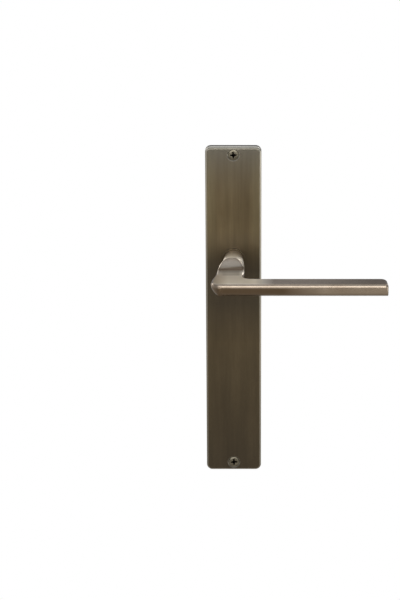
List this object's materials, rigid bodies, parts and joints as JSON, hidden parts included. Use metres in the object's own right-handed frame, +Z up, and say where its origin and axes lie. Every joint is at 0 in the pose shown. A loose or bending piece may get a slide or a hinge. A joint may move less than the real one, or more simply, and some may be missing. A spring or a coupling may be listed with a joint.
{
  "type": "door lever on backplate",
  "caption": "Sprung door lever with a round flaring neck, scooped head and flat-topped bar on a long narrow backplate, with square spindle and countersunk fixing screws.",
  "frame": {"origin": "on the spindle axis, at the plate's door face", "axes": "+Y into the door along the spindle, so the front faces -Y; +X towards the lever's tip; +Z up the plate"},
  "size_m": [0.1249, 0.1264, 0.24],
  "materials": {
    "plate_brass": "brown antique patina, satin brushed lengthways, lacquered",
    "lever_brass": "brown antique patina, satin polished, a little lighter on the edges",
    "screw_brass": "brown antique patina, satin",
    "plated_steel": "zinc plated, satin",
    "spring_steel": "dark oiled",
    "spindle_steel": "bright drawn",
    "black_nylon": "moulded",
    "white_nylon": "moulded"
  },
  "bodies": {
    "plate": {"backplate": "plate_brass", "neck_collar": "plate_brass", "neck_bush": "black_nylon", "fixing_screws": "screw_brass", "spring_housing": "plated_steel", "return_spring": "spring_steel", "friction_washer": "white_nylon"},
    "lever": {"lever": "lever_brass", "spring_driver": "plated_steel", "thrust_washer": "plated_steel", "circlip": "spring_steel", "spindle": "spindle_steel", "grub_screw": "spring_steel"}
  },
  "joints": [
    {"name": "lever_turn", "type": "hinge", "parent": "plate", "child": "lever", "pos_m": [0, 0, 0], "axis": [0, 1, 0], "range_deg": [0, 45], "stiffness_Nm_per_rad": 0.8, "springref_deg": -57.3, "deforming": ["return_spring"]}
  ]
}
